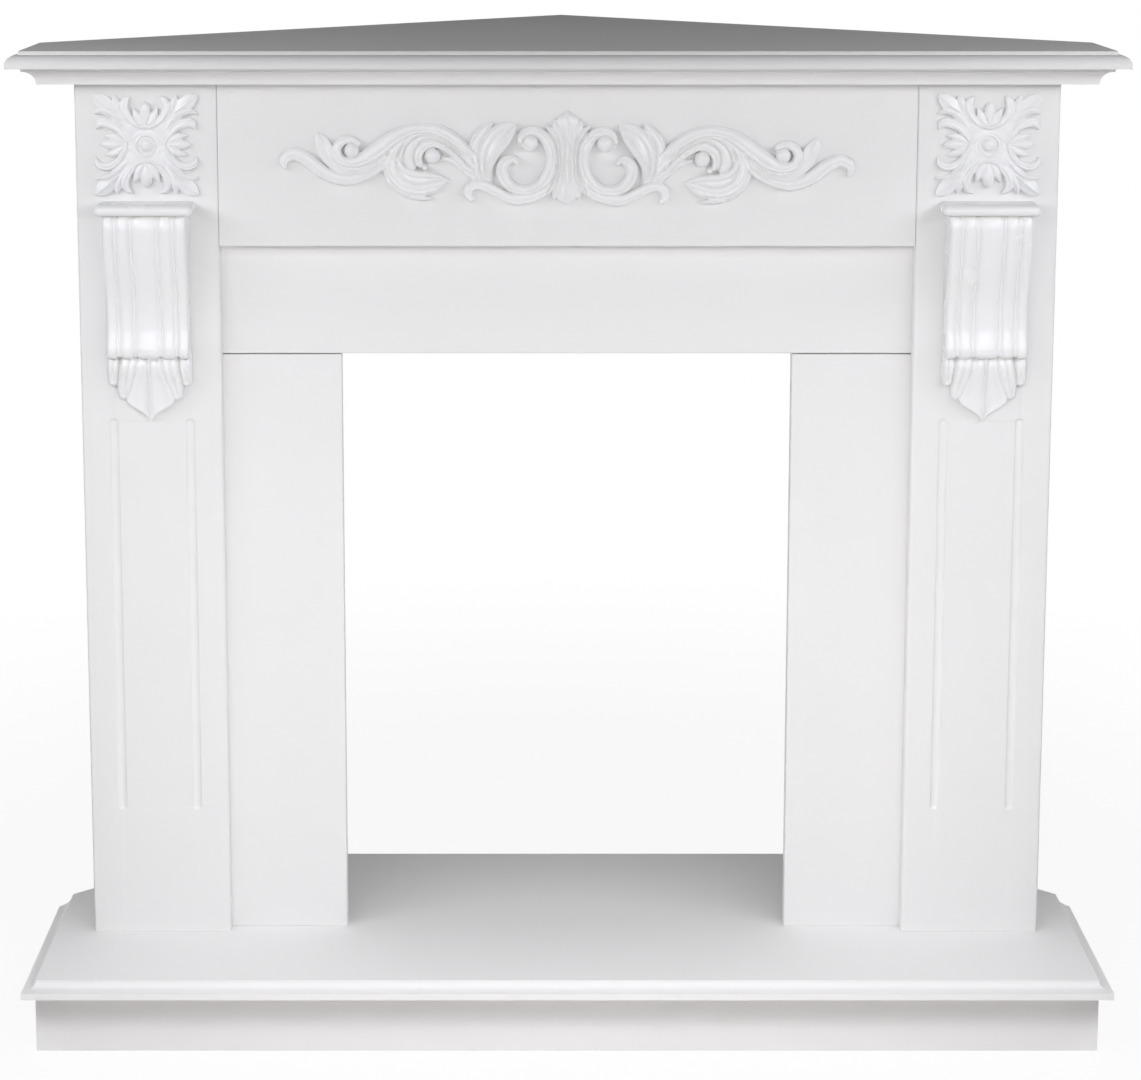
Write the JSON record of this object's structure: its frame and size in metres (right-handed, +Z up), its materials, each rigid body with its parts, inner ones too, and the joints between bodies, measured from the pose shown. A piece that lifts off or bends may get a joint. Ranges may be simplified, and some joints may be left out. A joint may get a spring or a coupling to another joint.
{
  "type": "corner fireplace surround",
  "caption": "White corner fireplace surround: fluted pilasters with corbels and rosettes, carved scroll on the frieze, hearth board on a plinth, pointed mantel shelf that fits a room corner.",
  "frame": {"origin": "centre of the bounding box's base, on the floor", "axes": "+X to the object's width (right in the front view), +Y towards the room corner, +Z up"},
  "size_m": [1.104, 0.7976, 1],
  "materials": {
    "satin_lacquer": "satin white lacquer on fibreboard",
    "casting_white": "white lacquered resin casting, semi-gloss",
    "raw_board": "bare fibreboard",
    "pine": "planed pine",
    "zinc_steel": "zinc-plated steel"
  },
  "bodies": {
    "root": {"bracket_foot_left": "zinc_steel", "bracket_foot_right": "zinc_steel", "bracket_top_left": "zinc_steel", "bracket_top_right": "zinc_steel", "corbel_cap_left": "casting_white", "corbel_cap_right": "casting_white", "corbel_left": "casting_white", "corbel_right": "casting_white", "corner_batten_left": "pine", "corner_batten_right": "pine", "cornice_board": "satin_lacquer", "frieze_board": "satin_lacquer", "frieze_scroll": "casting_white", "header_panel": "satin_lacquer", "hearth_board": "satin_lacquer", "mantel_shelf": "satin_lacquer", "pilaster_left": "satin_lacquer", "pilaster_right": "satin_lacquer", "plinth_bearer_left": "raw_board", "plinth_bearer_right": "raw_board", "plinth_block_left": "pine", "plinth_block_right": "pine", "plinth_front": "satin_lacquer", "plinth_rear": "raw_board", "plinth_side_left": "satin_lacquer", "plinth_side_right": "satin_lacquer", "plinth_slant_left": "raw_board", "plinth_slant_right": "raw_board", "rosette_left": "casting_white", "rosette_right": "casting_white", "screw_foot_left_1": "zinc_steel", "screw_foot_left_2": "zinc_steel", "screw_foot_left_3": "zinc_steel", "screw_foot_left_4": "zinc_steel", "screw_foot_right_1": "zinc_steel", "screw_foot_right_2": "zinc_steel", "screw_foot_right_3": "zinc_steel", "screw_foot_right_4": "zinc_steel", "screw_top_left_1": "zinc_steel", "screw_top_left_2": "zinc_steel", "screw_top_left_3": "zinc_steel", "screw_top_left_4": "zinc_steel", "screw_top_right_1": "zinc_steel", "screw_top_right_2": "zinc_steel", "screw_top_right_3": "zinc_steel", "screw_top_right_4": "zinc_steel", "side_board_left": "satin_lacquer", "side_board_right": "satin_lacquer", "side_panel_left": "satin_lacquer", "side_panel_right": "satin_lacquer", "wall_rail_left": "raw_board", "wall_rail_right": "raw_board"}
  },
  "joints": []
}
